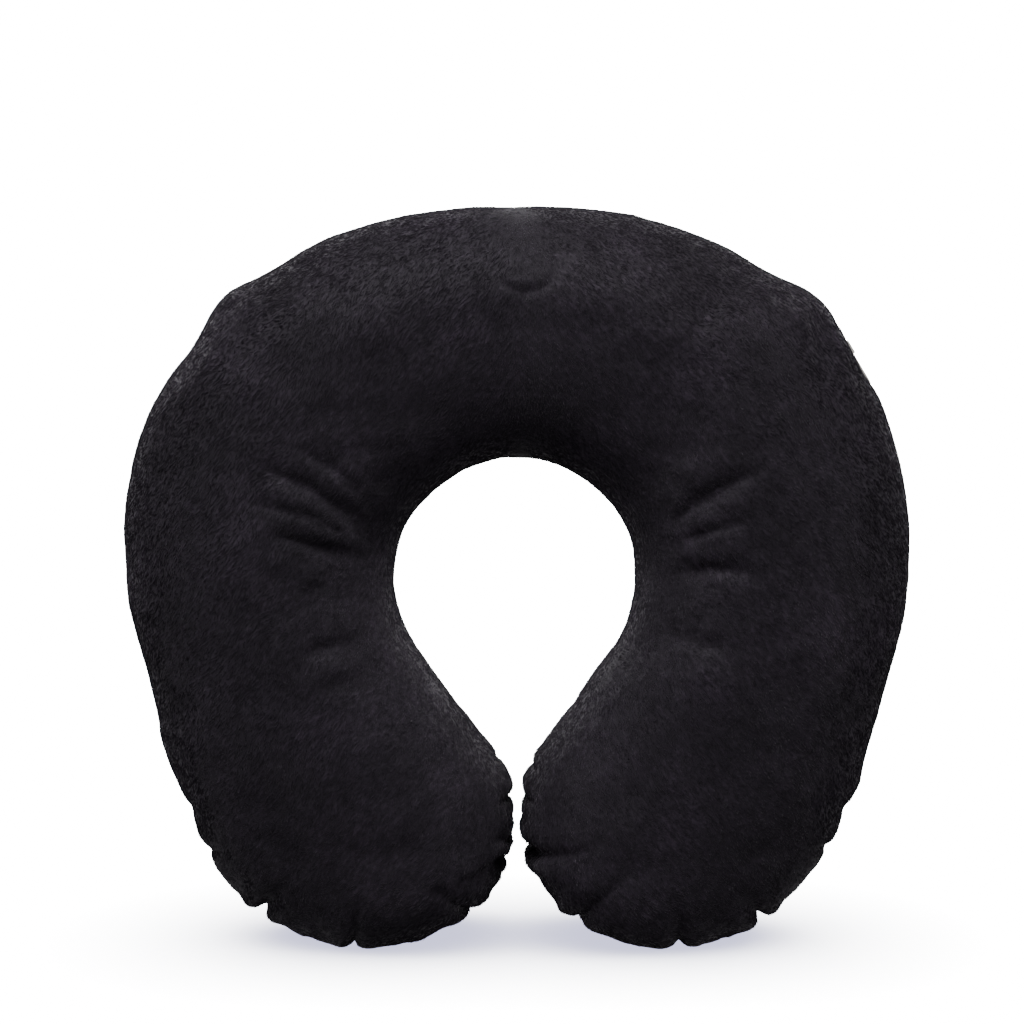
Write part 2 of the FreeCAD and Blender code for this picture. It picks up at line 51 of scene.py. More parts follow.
# ---- Outline ------------------------------------------------------------------------------------
WIDTH, HEIGHT = 390.0, 366.0
HALF_THICKNESS = 55.0
MEAN_HALF_WIDTH = 64  # of the tube in the picture's plane, which only spaces its points
SECTION_POWER = 2.2
NECK_RADIUS = 59.0
CROWN_WIDTH = 124.0
CROWN_END, SHOULDER_END = 28.0, 54.0
FOOT_TIP = 210.0
FLOOR_CRUSH = 3.0

CROWN_RISE = 170.0  # of the top over the centre of the sides' arc
HEEL_INSET = 26.0
HEEL_RADIUS = 98.0
TOE_RADIUS = 66.0
INSTEP_RADIUS = 59.0
INSTEP_RISE = 4.0  # of the instep's centre over the toe's
LEG_GAP_HALF = 3.0

SIDE_RADIUS = WIDTH / 2
SIDE_CENTRE = (0.0, HEIGHT - CROWN_RISE)
NECK_CENTRE = (0.0, HEIGHT - CROWN_WIDTH - NECK_RADIUS)
HEEL_CENTRE = (WIDTH / 2 - HEEL_INSET - HEEL_RADIUS, HEEL_RADIUS - FLOOR_CRUSH)
TOE_CENTRE = (LEG_GAP_HALF + TOE_RADIUS, TOE_RADIUS - FLOOR_CRUSH)
INSTEP_CENTRE = (LEG_GAP_HALF + INSTEP_RADIUS, TOE_CENTRE[1] + INSTEP_RISE)


def on_circle(centre, radius, angle):
    a = math.radians(angle)
    return centre[0] + radius * math.sin(a), centre[1] + radius * math.cos(a)


def crown_radii():
    s1, c1 = math.sin(math.radians(CROWN_END)), math.cos(math.radians(CROWN_END))
    s2, c2 = math.sin(math.radians(SHOULDER_END)), math.cos(math.radians(SHOULDER_END))
    across, down = on_circle(SIDE_CENTRE, SIDE_RADIUS, SHOULDER_END)
    return np.linalg.solve([[s1, s2 - s1], [1 - c1, c1 - c2]], [across, HEIGHT - down])


def tangent_angle(a, b, reach):
    dx, dz = b[0] - a[0], b[1] - a[1]
    return math.degrees(math.atan2(dx, dz) - math.acos(reach / math.hypot(dx, dz))) % 360


CROWN_RADIUS, SHOULDER_RADIUS = crown_radii()
CROWN_CENTRE = (0.0, HEIGHT - CROWN_RADIUS)
SHOULDER_CENTRE = on_circle(CROWN_CENTRE, CROWN_RADIUS - SHOULDER_RADIUS, CROWN_END)
FLANK_ANGLE = tangent_angle(SIDE_CENTRE, HEEL_CENTRE, SIDE_RADIUS - HEEL_RADIUS)
INSTEP_ANGLE = tangent_angle(INSTEP_CENTRE, NECK_CENTRE, INSTEP_RADIUS + NECK_RADIUS)


def arc(centre, radius, start, end, sign=1):
    """Points of an arc about 1 mm apart."""
    count = max(8, int(abs(math.radians(end - start)) * radius))
    a = np.radians(np.linspace(start, end, count))
    return np.stack([centre[0] + sign * radius * np.sin(a), centre[1] + sign * radius * np.cos(a)], 1)


def resample(points, shares):
    step = np.linalg.norm(np.diff(points, axis=0), axis=1)
    run = np.concatenate([[0], np.cumsum(step)])
    run /= run[-1]
    return np.stack([np.interp(shares, run, points[:, k]) for k in (0, 1)], 1)


RING_OUT = np.concatenate([
    arc(CROWN_CENTRE, CROWN_RADIUS, 0, CROWN_END),
    arc(SHOULDER_CENTRE, SHOULDER_RADIUS, CROWN_END, SHOULDER_END),
    arc(SIDE_CENTRE, SIDE_RADIUS, SHOULDER_END, FLANK_ANGLE),
    [on_circle(HEEL_CENTRE, HEEL_RADIUS, FLANK_ANGLE)],
])
RING_IN = arc(NECK_CENTRE, NECK_RADIUS, 180, INSTEP_ANGLE, -1)
FOOT_OUT = np.concatenate([
    arc(HEEL_CENTRE, HEEL_RADIUS, FLANK_ANGLE, 180),
    arc(TOE_CENTRE, TOE_RADIUS, 180, FOOT_TIP),
])
FOOT_IN = np.concatenate([
    [on_circle(NECK_CENTRE, -NECK_RADIUS, INSTEP_ANGLE)],
    arc(INSTEP_CENTRE, INSTEP_RADIUS, INSTEP_ANGLE, 270),
    arc(TOE_CENTRE, TOE_RADIUS, 270, FOOT_TIP),
])


# ---- Noise --------------------------------------------------------------------------------------
def value_noise(points, scale, seed):
    """Smooth noise from -1 to 1 at points (n, 3), with features about scale mm across."""
    q = points / scale
    base = np.floor(q).astype(np.int64)
    f = q - base
    f = f * f * (3 - 2 * f)
    total = np.zeros(len(points))
    for dx in (0, 1):
        for dy in (0, 1):
            for dz in (0, 1):
                c = base + (dx, dy, dz)
                h = (c[:, 0] * 73856093) ^ (c[:, 1] * 19349663) ^ (c[:, 2] * 83492791) ^ (seed * 2654435761)
                h = (h ^ (h >> 13)) * 1274126177
                value = ((h ^ (h >> 16)) & 0xFFFF) / 32767.5 - 1
                w = np.where(dx, f[:, 0], 1 - f[:, 0]) * np.where(dy, f[:, 1], 1 - f[:, 1])
                total += value * w * np.where(dz, f[:, 2], 1 - f[:, 2])
    return total


# ---- Creases ------------------------------------------------------------------------------------
# Puckers at the edge: x and z of a point on the outline, then depth, half width and length inwards.
PUCKERS = [
    (-125, 21, 6.0, 2.3, 30), (-81, 0, 5.5, 2.2, 38), (-28, 22, 6.5, 2.3, 30),
    (-5, 71, 3.4, 1.9, 16), (-3, 52, 4.4, 2.0, 20), (7, 46, 7.0, 2.4, 32),
    (33, 18, 6.5, 2.4, 36), (80, 0, 5.5, 2.2, 38), (120, 15, 6.0, 2.3, 30),
    (-150, 48, 2.2, 2.8, 20), (-102, 6, 1.4, 2.8, 16), (-55, 3, 1.6, 2.8, 18),
    (150, 50, 2.2, 2.8, 20), (101, 4, 1.4, 2.8, 16), (57, 4, 1.7, 2.8, 18), (-13, 36, 1.8, 2.4, 16),
    (-9, 90, 1.6, 2.2, 13), (8, 88, 1.4, 2.2, 14), (-161, 74, 1.1, 3.4, 14), (-170, 98, 1.0, 4.0, 14),
    (163, 80, 1.1, 3.4, 14), (172, 104, 0.9, 4.0, 14),
]
# Broad flats and swells: x and z of the middle, then height (less than 0 sinks) and half width.
LOBES = [
    (-128, 335, -5.4, 23), (-161, 303, -7.4, 19), (128, 337, -4.7, 22), (42, 4, -8.5, 16), (-36, 4, -5.0, 13),
    (-102, 4, 2.4, 16), (-56, 4, 1.6, 13), (104, 4, 2.4, 15), (-140, 30, 3.0, 14), (-167, 100, 2.8, 22),
    (172, 84, 2.4, 20), (-12, 36, 1.2, 10), (18, 30, 1.0, 10),
    (-58, 183, -3.4, 34), (-42, 128, -3.4, 22), (-20, 100, -2.4, 16), (58, 172, 1.8, 18),
]
# Folds on the front face: polyline of x, z points, then depth and half width.
FOLDS = [
    ([(-124, 240), (-99, 229), (-80, 215), (-66, 197)], 3.4, 4.0),
    ([(-118, 208), (-94, 200), (-66, 193)], 2.8, 3.6),
    ([(-128, 223), (-104, 217), (-82, 207)], 1.8, 3.2),
    ([(-108, 250), (-90, 240), (-74, 226)], 1.6, 3.6),
    ([(74, 212), (92, 226), (114, 238)], 3.0, 4.0),
    ([(72, 186), (92, 190), (112, 189)], 2.2, 3.8),
    ([(74, 200), (94, 209), (110, 214)], 1.5, 3.2),
    ([(-68, 158), (-88, 152), (-104, 150)], 1.8, 4.5),
    ([(-62, 146), (-80, 136), (-98, 132)], 1.3, 4.5),
    ([(68, 160), (88, 154), (104, 154)], 1.6, 4.5),
    ([(149, 309), (147, 290), (146, 272)], 1.6, 3.6),
    ([(-150, 306), (-164, 290), (-178, 268)], 2.4, 8.0),
    ([(-45, 58), (-62, 50), (-84, 52)], 2.0, 6.0),
    ([(40, 50), (60, 43), (80, 47)], 1.8, 6.0),
    ([(-128, 60), (-112, 52), (-100, 40)], 1.6, 6.0),
    ([(128, 58), (114, 50), (104, 38)], 1.6, 6.0),
]


def crease(distance, width):
    """A valley with a soft shoulder on each side, 1 deep."""
    q = distance / width
    return -np.exp(-q * q) + 0.4 * np.exp(-(((np.abs(q) - 3.2) / 1.9) ** 2))


def outline_frame(x, z):
    """Nearest point of the whole outline to a point, and its tangent there."""
    right = np.concatenate([RING_OUT, FOOT_OUT, FOOT_IN[::-1], RING_IN[::-1]])
    ring = np.concatenate([right, right[::-1] * (-1, 1)])
    k = int(np.argmin(np.hypot(ring[:, 0] - x, ring[:, 1] - z)))
    a, b = ring[(k - 4) % len(ring)], ring[(k + 4) % len(ring)]
    tangent = (b - a) / np.linalg.norm(b - a)
    return ring[k], tangent


def polyline_distance(points, line):
    """Distance of (n, 2) points to a polyline and the share of its length there."""
    line = np.array(line, float)
    lengths = np.linalg.norm(np.diff(line, axis=0), axis=1)
    best = np.full(len(points), 1e9)
    share = np.zeros(len(points))
    run = 0.0
    for a, b, length in zip(line[:-1], line[1:], lengths):
        t = np.clip(((points - a) @ (b - a)) / length**2, 0, 1)
        d = np.linalg.norm(points - (a + t[:, None] * (b - a)), axis=1)
        near = d < best
        best = np.where(near, d, best)
        share = np.where(near, (run + t * length) / lengths.sum(), share)
        run += length
    return best, share


VALVE_AT = np.array([4.0, 338.0])
ZIP_START, ZIP_END = SHOULDER_END, FLANK_ANGLE  # degrees round the side, of the slot
SLOT_HALF = 5.2
SLOT_DEPTH = 9.8  # clears the slider's inner plate all along its travel
LIP_SINK = 2.8
CLOSED_AT = 59.5  # degrees, of the slider when the zip is closed
EDGE_BAND = 30  # inwards from the side's arc, taken as the outer edge


def side_angle(p):
    """Degrees from +Z round the side's centre, and the radius there."""
    dx, dz = p[:, 0] - SIDE_CENTRE[0], p[:, 2] - SIDE_CENTRE[1]
    return np.degrees(np.arctan2(dx, dz)), np.hypot(dx, dz)


def relief(p, n):
    """How far each point moves along its normal, in mm."""
    height = 1.2 * value_noise(p, 46, 1) + 0.6 * value_noise(p, 19, 2) + 0.22 * value_noise(p, 8, 3)
    xz = p[:, (0, 2)]
    for x, z, depth, width, length in PUCKERS:
        at, tangent = outline_frame(x, z)
        away = xz - at
        u = away @ tangent
        reach = np.sqrt(np.maximum(np.sum(away * away, 1) - u * u, 0) + (0.8 * p[:, 1]) ** 2)
        wander = 1.5 * value_noise(p, 9, 4)
        fade = np.exp(-((reach / length) ** 2))
        spread = width * (0.85 + 0.35 * reach / length)
        height += depth * fade * crease(u + wander, spread)
    for x, z, rise, width in LOBES:
        away = (xz[:, 0] - x) ** 2 + (xz[:, 1] - z) ** 2 + (0.7 * p[:, 1]) ** 2
        height += rise * np.exp(-away / width**2)
    front = 1 / (1 + np.exp(p[:, 1] / 3))
    for line, depth, width in FOLDS:
        d, share = polyline_distance(xz, line)
        fade = np.sin(np.pi * np.clip(share, 0.02, 0.98)) ** 0.7
        height += front * depth * fade * crease(d + 0.8 * value_noise(p, 12, 5), width)
    d = np.hypot(*(xz - VALVE_AT).T)
    edge = np.exp(-(((d - 15) / 2.6) ** 2))
    low = np.clip((VALVE_AT[1] - xz[:, 1]) / 15, 0, 1)
    height += front * (0.6 / (1 + np.exp((d - 14.5) / 1.6)) - (0.3 + 0.75 * low) * edge)
    return height


# ---- Meshes -------------------------------------------------------------------------------------
def even_turns(count):
    """Angles round half a section that are evenly spaced along it."""
    t = np.linspace(0, np.pi, 4000)
    c, s = np.cos(t), np.sin(t)
    x = MEAN_HALF_WIDTH * np.sign(c) * np.abs(c) ** (2 / SECTION_POWER)
    y = HALF_THICKNESS * np.abs(s) ** (2 / SECTION_POWER)
    run = np.concatenate([[0], np.cumsum(np.hypot(np.diff(x), np.diff(y)))])
    return np.interp(np.linspace(0, run[-1], count), run, t)


def half_grid(side, along, across):
    """(along, across, 3) points of the front (side -1) or back (side 1) of the smooth tube."""
    out_run = np.linalg.norm(np.diff(RING_OUT, axis=0), axis=1).sum()
    foot_run = np.linalg.norm(np.diff(FOOT_OUT, axis=0), axis=1).sum() * 0.82
    ring_count = int(along / 2 * out_run / (out_run + foot_run))
    foot_count = along // 2 - ring_count
    ring = np.linspace(0, 1, ring_count, endpoint=False)
    foot = 1 - (1 - np.linspace(0, 1, foot_count)) ** 1.12
    outer = np.concatenate([resample(RING_OUT, ring), resample(FOOT_OUT, foot)])
    inner = np.concatenate([resample(RING_IN, ring), resample(FOOT_IN, foot)])
    width = np.linalg.norm(outer - inner, axis=1)
    depth = HALF_THICKNESS * np.sin(np.pi / 2 * np.minimum(1, width / width[ring_count]))
    flip = np.array([-1.0, 1.0])
    outer = np.concatenate([outer[:0:-1] * flip, outer])
    inner = np.concatenate([inner[:0:-1] * flip, inner])
    depth = np.concatenate([depth[:0:-1], depth])
    t = even_turns(across)
    c = np.sign(np.cos(t)) * np.abs(np.cos(t)) ** (2 / SECTION_POWER)
    s = np.abs(np.sin(t)) ** (2 / SECTION_POWER)
    s[0] = s[-1] = 0
    middle, reach = (outer + inner) / 2, (outer - inner) / 2
    grid = np.zeros((len(outer), across, 3))
    for axis, k in ((0, 0), (2, 1)):
        grid[:, :, axis] = middle[:, k, None] + reach[:, k, None] * c
    grid[:, :, 1] = side * depth[:, None] * s
    return grid


def grid_normals(grid, side):
    da = np.gradient(grid, axis=0)
    db = np.gradient(grid, axis=1)
    n = np.cross(da, db)
    length = np.linalg.norm(n, axis=2, keepdims=True)
    n = n / np.maximum(length, 1e-9)
    towards = np.sum(n[..., 1]) * side
    n = n if towards > 0 else -n
    n[0], n[-1] = n[1], n[-2]
    return n


CLOTH_INSET = 1.5
CLOTH_VOXEL = 0.005
CLOTH_FRAMES = 20


def cloth_swell():
    """Points on the smooth tube, and how far a pressed-up cloth stands off it at each, in mm."""
    parts = [half_grid(side, 300, 56) for side in (-1, 1)]
    points, faces = [], []
    for grid, side in zip(parts, (-1, 1)):
        rows, columns = grid.shape[:2]
        smaller = grid - CLOTH_INSET * grid_normals(grid, side)
        smaller[:, (0, -1), 1] = 0
        k = np.arange(rows - 1)[:, None] * columns + np.arange(columns - 1)[None] + sum(map(len, points))
        quads = np.stack([k, k + 1, k + columns + 1, k + columns], 2).reshape(-1, 4)
        points.append(smaller.reshape(-1, 3))
        faces.append(quads if side < 0 else quads[:, ::-1])
    body = object_from("cloth", np.concatenate(points), np.concatenate(faces))
    remesh = body.modifiers.new("remesh", "REMESH")
    remesh.mode, remesh.voxel_size = "VOXEL", CLOTH_VOXEL
    graph = bpy.context.evaluated_depsgraph_get()
    mesh = bpy.data.meshes.new_from_object(body.evaluated_get(graph))
    body.modifiers.clear()
    body.data = mesh
    start = np.empty(len(mesh.vertices) * 3, np.float32)
    mesh.vertices.foreach_get("co", start)
    normal = np.empty(len(mesh.vertices) * 3, np.float32)
    mesh.vertex_normals.foreach_get("vector", normal)
    cloth = body.modifiers.new("cloth", "CLOTH")
    cloth.settings.quality = 6
    cloth.settings.mass = 0.25
    cloth.settings.tension_stiffness = 20
    cloth.settings.compression_stiffness = 8
    cloth.settings.shear_stiffness = 5
    cloth.settings.bending_stiffness = 0.05
    cloth.settings.shrink_min = -0.04
    cloth.settings.use_pressure = True
    cloth.settings.uniform_pressure_force = 4
    cloth.settings.effector_weights.gravity = 0
    cloth.point_cache.frame_start, cloth.point_cache.frame_end = 1, CLOTH_FRAMES
    for frame_number in range(1, CLOTH_FRAMES + 1):
        bpy.context.scene.frame_set(frame_number)
    swollen = body.evaluated_get(bpy.context.evaluated_depsgraph_get()).to_mesh()
    end = np.empty_like(start)
    swollen.vertices.foreach_get("co", end)
    start, normal, end = (v.reshape(-1, 3).astype(float) for v in (start, normal, end))
    bpy.context.scene.frame_set(1)
    bpy.data.objects.remove(body)
    return start / MM, np.sum((end - start) * normal, 1) / MM


def smooth_share(count, coarse):
    """Where each of count even steps lies among coarse even steps, as an index and a share."""
    at = np.linspace(0, coarse - 1, count)
    low = np.minimum(at.astype(int), coarse - 2)
    return low, at - low


def blurred(field, reach):
    """A grid of numbers, smoothed over reach cells each way."""
    kernel = np.exp(-((np.arange(-2 * reach, 2 * reach + 1) / reach) ** 2))
    kernel /= kernel.sum()
    for axis in (0, 1):
        wide = np.pad(field, [(2 * reach,) * 2 if k == axis else (0, 0) for k in (0, 1)], mode="edge")
        field = np.apply_along_axis(np.convolve, axis, wide, kernel, "valid")
    return field


def swell_of(grid):
    """The cloth's creases and swells at every point of a fine grid, without the tube's own growth."""
    coarse = grid[::4, ::3]
    flat = coarse.reshape(-1, 3)
    found = np.empty(len(flat))
    for k, point in enumerate(flat):
        near = SWELL_TREE.find_n(point, 5)
        weight = [1 / (1 + distance) ** 2 for _, _, distance in near]
        found[k] = sum(w * SWELL[i] for w, (_, i, _) in zip(weight, near)) / sum(weight)
    found = found.reshape(coarse.shape[:2])
    found = SWELL_LIMIT * np.tanh(1.6 * (found - blurred(found, 9)) / SWELL_LIMIT)
    rows, columns = grid.shape[:2]
    i, fi = smooth_share(rows, found.shape[0])
    j, fj = smooth_share(columns, found.shape[1])
    upper = found[i][:, j] * (1 - fj) + found[i][:, j + 1] * fj
    lower = found[i + 1][:, j] * (1 - fj) + found[i + 1][:, j + 1] * fj
    return upper * (1 - fi[:, None]) + lower * fi[:, None]


def shaped(grid, side):
    """The grid with its creases, the groove of its seam and the slot of its zip."""
    n = grid_normals(grid, side)
    p, flat_n = grid.reshape(-1, 3), n.reshape(-1, 3)
    off = np.abs(p[:, 1])
    height = relief(p, flat_n) + (0 if SWELL is None else swell_of(grid).ravel())
    # what lies inside the cover stays inside it: it is close under the faces, and deeper at the seam
    room = 2.3 + 5.7 * (1 - off / HALF_THICKNESS) ** 2
    height = np.where(height < 0, -room * np.tanh(-height / room), height)
    moved = p + flat_n * height[:, None]
    groove = np.exp(-((off / 1.1) ** 2))
    angle, _ = side_angle(p)
    outer_edge = np.hypot(p[:, 0], p[:, 2] - SIDE_CENTRE[1]) > SIDE_RADIUS - EDGE_BAND
    inside = np.clip((angle - ZIP_START + 0.3) / 0.6, 0, 1) * np.clip((ZIP_END + 0.3 - angle) / 0.6, 0, 1)
    in_slot = inside * outer_edge
    moved -= flat_n * (1.3 * groove * (1 - in_slot))[:, None]
    # the zip's lips and what lies under them keep clear of relief, then drop to the slot's floor
    wall = 1 / (1 + np.exp((off - SLOT_HALF - 0.5) / 0.28))
    along = np.clip((angle - ZIP_START + 9) / 9, 0, 1) * np.clip((ZIP_END + 9 - angle) / 9, 0, 1)
    near = along * along * (3 - 2 * along) * outer_edge * (1 / (1 + np.exp((off - 14) / 2.5)))
    moved += (p - moved) * near[:, None]
    radial = np.stack([np.sin(np.radians(angle)), np.zeros(len(p)), np.cos(np.radians(angle))], 1)
    moved -= radial * (in_slot * wall * SLOT_DEPTH)[:, None]
    # beside the closed slider the lips sink but the slot's floor doesn't, so that the slider and its
    # pull stand a little proud
    beside = np.exp(-(((angle - CLOSED_AT) / 5.5) ** 4)) * outer_edge / (1 + np.exp((off - 18) / 3))
    moved -= radial * (LIP_SINK * beside * (1 - in_slot * wall))[:, None]
    moved[:, 1] = side * np.maximum(side * moved[:, 1], 0.02)
    moved[:, 2] = np.maximum(moved[:, 2], 0.0)
    return moved.reshape(grid.shape)


def object_from(name, points, faces, smooth=True):
    mesh = bpy.data.meshes.new(name)
    mesh.vertices.add(len(points))
    mesh.vertices.foreach_set("co", (np.asarray(points) * MM).ravel())
    faces = np.asarray(faces)
    mesh.loops.add(faces.size)
    mesh.loops.foreach_set("vertex_index", faces.ravel())
    mesh.polygons.add(len(faces))
    mesh.polygons.foreach_set("loop_start", np.arange(0, faces.size, faces.shape[1]))
    mesh.polygons.foreach_set("use_smooth", np.full(len(faces), smooth))
    mesh.update(calc_edges=True)
    mesh.validate()
    obj = bpy.data.objects.new(name, mesh)
    bpy.context.scene.collection.objects.link(obj)
    return obj


def half_mesh(name, side, along, across):
    """One half of the cover as a closed mesh: its curved side, and a flat wall where it meets the other."""
    grid = shaped(half_grid(side, along, across), side)
    rows = grid.shape[0]
    points = grid.reshape(-1, 3)
    a = np.arange(rows - 1)[:, None] * across + np.arange(across - 1)[None]
    quads = np.stack([a, a + 1, a + across + 1, a + across], 2).reshape(-1, 4)
    e = np.arange(rows - 1) * across
    wall = np.stack([e, e + across, e + 2 * across - 1, e + across - 1], 1)
    faces = np.concatenate([quads, wall])
    if side > 0:
        faces = faces[:, ::-1]
    obj = object_from(name, points, faces)
    return obj, grid


SWELL, SWELL_LIMIT = None, 3.0
swell_points, SWELL = cloth_swell()
SWELL_TREE = KDTree(len(swell_points))
for index, point in enumerate(swell_points):
    SWELL_TREE.insert(point, index)
SWELL_TREE.balance()

ALONG, ACROSS = (1101, 181)
front, front_grid = half_mesh("cover_front", -1, ALONG, ACROSS)
back, back_grid = half_mesh("cover_back", 1, ALONG, ACROSS)


# ---- Seam ---------------------------------------------------------------------------------------
def seam_stitches(name, path):
    """Sewing thread along the groove between the halves: one chain that swells at each stitch."""
    step = np.linalg.norm(np.diff(path, axis=0), axis=1)
    run = np.concatenate([[0], np.cumsum(step)])
    at = np.arange(0, run[-1], 0.8)
    line = np.stack([np.interp(at, run, path[:, k]) for k in (0, 2)], 1)
    tangent = np.gradient(line, axis=0)
    tangent /= np.maximum(np.linalg.norm(tangent, axis=1, keepdims=True), 1e-9)
    outward = np.stack([-tangent[:, 1], tangent[:, 0]], 1)
    if np.sum(outward * (line - line.mean(0))) < 0:
        outward = -outward
    centre = line - 0.1 * outward
    radius = 0.2 + 0.22 * np.sqrt(np.abs(np.sin(np.pi * at / 3.2)))
    turn = np.linspace(0, 2 * np.pi, 6, endpoint=False)
    out = centre[:, None] + (radius[:, None] * np.cos(turn))[..., None] * outward[:, None]
    points = np.stack([out[..., 0], radius[:, None] * np.sin(turn), np.maximum(out[..., 1], 0.02)], 2)
    rings = len(at)
    k = np.arange(rings - 1)[:, None] * 6 + np.arange(6)[None]
    nxt = np.arange(rings - 1)[:, None] * 6 + (np.arange(6)[None] + 1) % 6
    side = np.stack([k, nxt, nxt + 6, k + 6], 2).reshape(-1, 4)
    caps = np.array([(0, 3, 2, 1), (0, 5, 4, 3)])
    last = 6 * (rings - 1)
    ends = np.concatenate([caps, last + caps[:, ::-1]])
    return object_from(name, points.reshape(-1, 3), np.concatenate([side, ends]))


def seam_path(grid):
    """Once round the seam, from the zip's lower end to its upper end."""
    outer, inner = grid[:, 0], grid[:, -1]
    angle, radius = side_angle(outer)
    in_zip = (angle > ZIP_START - 0.4) & (angle < ZIP_END + 0.4) & (radius > SIDE_RADIUS - EDGE_BAND)
    start, end = np.flatnonzero(in_zip)[[0, -1]]
    return np.concatenate([outer[end + 1:], inner[::-1], outer[:start]])


seam = seam_stitches("cover_seam", seam_path(front_grid))


# ---- Pile ---------------------------------------------------------------------------------------
NAP_LEAN = 38  # degrees from straight down
TUFTS_EACH = 49000


def nap_direction(points, normals):
    """Where the pile leans: down and outwards over each leg, a little ruffled in clumps."""
    swirl = 0.35 * value_noise(points, 24, 11) + 0.3 * value_noise(points, 7, 12)
    swirl = swirl + 0.12 * value_noise(points, 2.5, 13)
    lean = np.radians(NAP_LEAN) + swirl
    lean = lean * np.tanh((points[:, 0] - 4 + 9 * value_noise(points, 30, 15)) / 26)
    direction = np.stack([np.sin(lean), 0.1 * swirl, -np.cos(lean)], 1)
    direction -= normals * np.sum(direction * normals, 1, keepdims=True)
    return direction / np.maximum(np.linalg.norm(direction, axis=1, keepdims=True), 1e-6)


def tufts(name, grid, side, count):
    """A share of the pile on one half: blades, each a closed sliver that lies along the nap."""
    a, b, c, d = grid[:-1, :-1], grid[1:, :-1], grid[1:, 1:], grid[:-1, 1:]
    cross = np.cross(c - a, d - b)
    area = np.linalg.norm(cross, axis=2)
    normal = cross / np.maximum(area, 1e-9)[..., None]
    if np.sum(normal[..., 1]) * side < 0:
        normal = -normal
    run = np.cumsum(area.ravel())
    cell = np.searchsorted(run, rng.random(count) * run[-1])
    i, j = np.unravel_index(np.minimum(cell, area.size - 1), area.shape)
    u, v = rng.random((2, count, 1))
    p = (a[i, j] * (1 - u) + b[i, j] * u) * (1 - v) + (d[i, j] * (1 - u) + c[i, j] * u) * v
    n = normal[i, j]
    angle, radius = side_angle(p)
    in_zip = (angle > ZIP_START - 3) & (angle < ZIP_END + 3)
    in_zip &= (np.abs(p[:, 1]) < SLOT_HALF + 4) & (radius > SIDE_RADIUS - EDGE_BAND)
    keep = ~in_zip & (p[:, 2] > 1.5)
    p, n = p[keep], n[keep]
    count = len(p)
    e1 = nap_direction(p, n)
    e2 = np.cross(n, e1)
    clump = value_noise(p, 5, 14)[:, None]
    length = (1.9 + 0.5 * clump) * (0.7 + 0.6 * rng.random((count, 1)))
    lift = (0.32 + 0.16 * clump) * (0.6 + 0.8 * rng.random((count, 1)))
    stray = rng.random((count, 1)) < 0.02
    lift = np.where(stray, lift * 2.6, lift)
    half = 0.22 + 0.1 * rng.random((count, 1))
    root = p - 0.2 * n
    points = np.stack([
        root - half * e2,
        root + half * e2,
        root + 0.35 * e1 + 0.42 * n,
        p + length * e1 + lift * n,
    ], 1).reshape(-1, 3)
    points[:, 2] = np.maximum(points[:, 2], 0.05)
    k = 4 * np.arange(count)[:, None]
    faces = np.concatenate([k + (0, 2, 1), k + (0, 1, 3), k + (0, 3, 2), k + (1, 2, 3)])
    return object_from(name, points, faces, smooth=False)


PILE = [tufts(f"pile_front_{k}", front_grid, -1, TUFTS_EACH) for k in (1, 2, 3, 4)]
PILE += [tufts(f"pile_back_{k}", back_grid, 1, TUFTS_EACH) for k in (1, 2)]


# ---- Materials ----------------------------------------------------------------------------------
class Nodes:
    """Short ways to make and link shader nodes."""

    def __init__(self, name):
        self.material = bpy.data.materials.new(name)
        self.material.use_nodes = True
        self.tree = self.material.node_tree
        self.shader = self.tree.nodes["Principled BSDF"]

    def add(self, kind, **inputs):
        node = self.tree.nodes.new(kind)
        for key, value in inputs.items():
            self.set(node, key.replace("_", " "), value)
        return node

    def set(self, node, key, value):
        socket = node.inputs[int(key)] if key.isdigit() else node.inputs[key]
        if isinstance(value, bpy.types.NodeSocket):
            self.tree.links.new(value, socket)
        else:
            socket.default_value = value

    def math(self, operation, a, b=0.0):
        node = self.tree.nodes.new("ShaderNodeMath")
        node.operation = operation
        self.set(node, "0", a)
        self.set(node, "1", b)
        return node.outputs[0]

    def ramp(self, value, *stops):
        node = self.tree.nodes.new("ShaderNodeValToRGB")
        for k, (at, colour) in enumerate(stops):
            element = node.color_ramp.elements[k] if k < 2 else node.color_ramp.elements.new(at)
            element.position, element.color = at, (*colour, 1)
        self.set(node, "Fac", value)
        return node.outputs["Color"]

    def set_shader(self, **values):
        for key, value in values.items():
            self.set(self.shader, key.replace("_", " "), value)


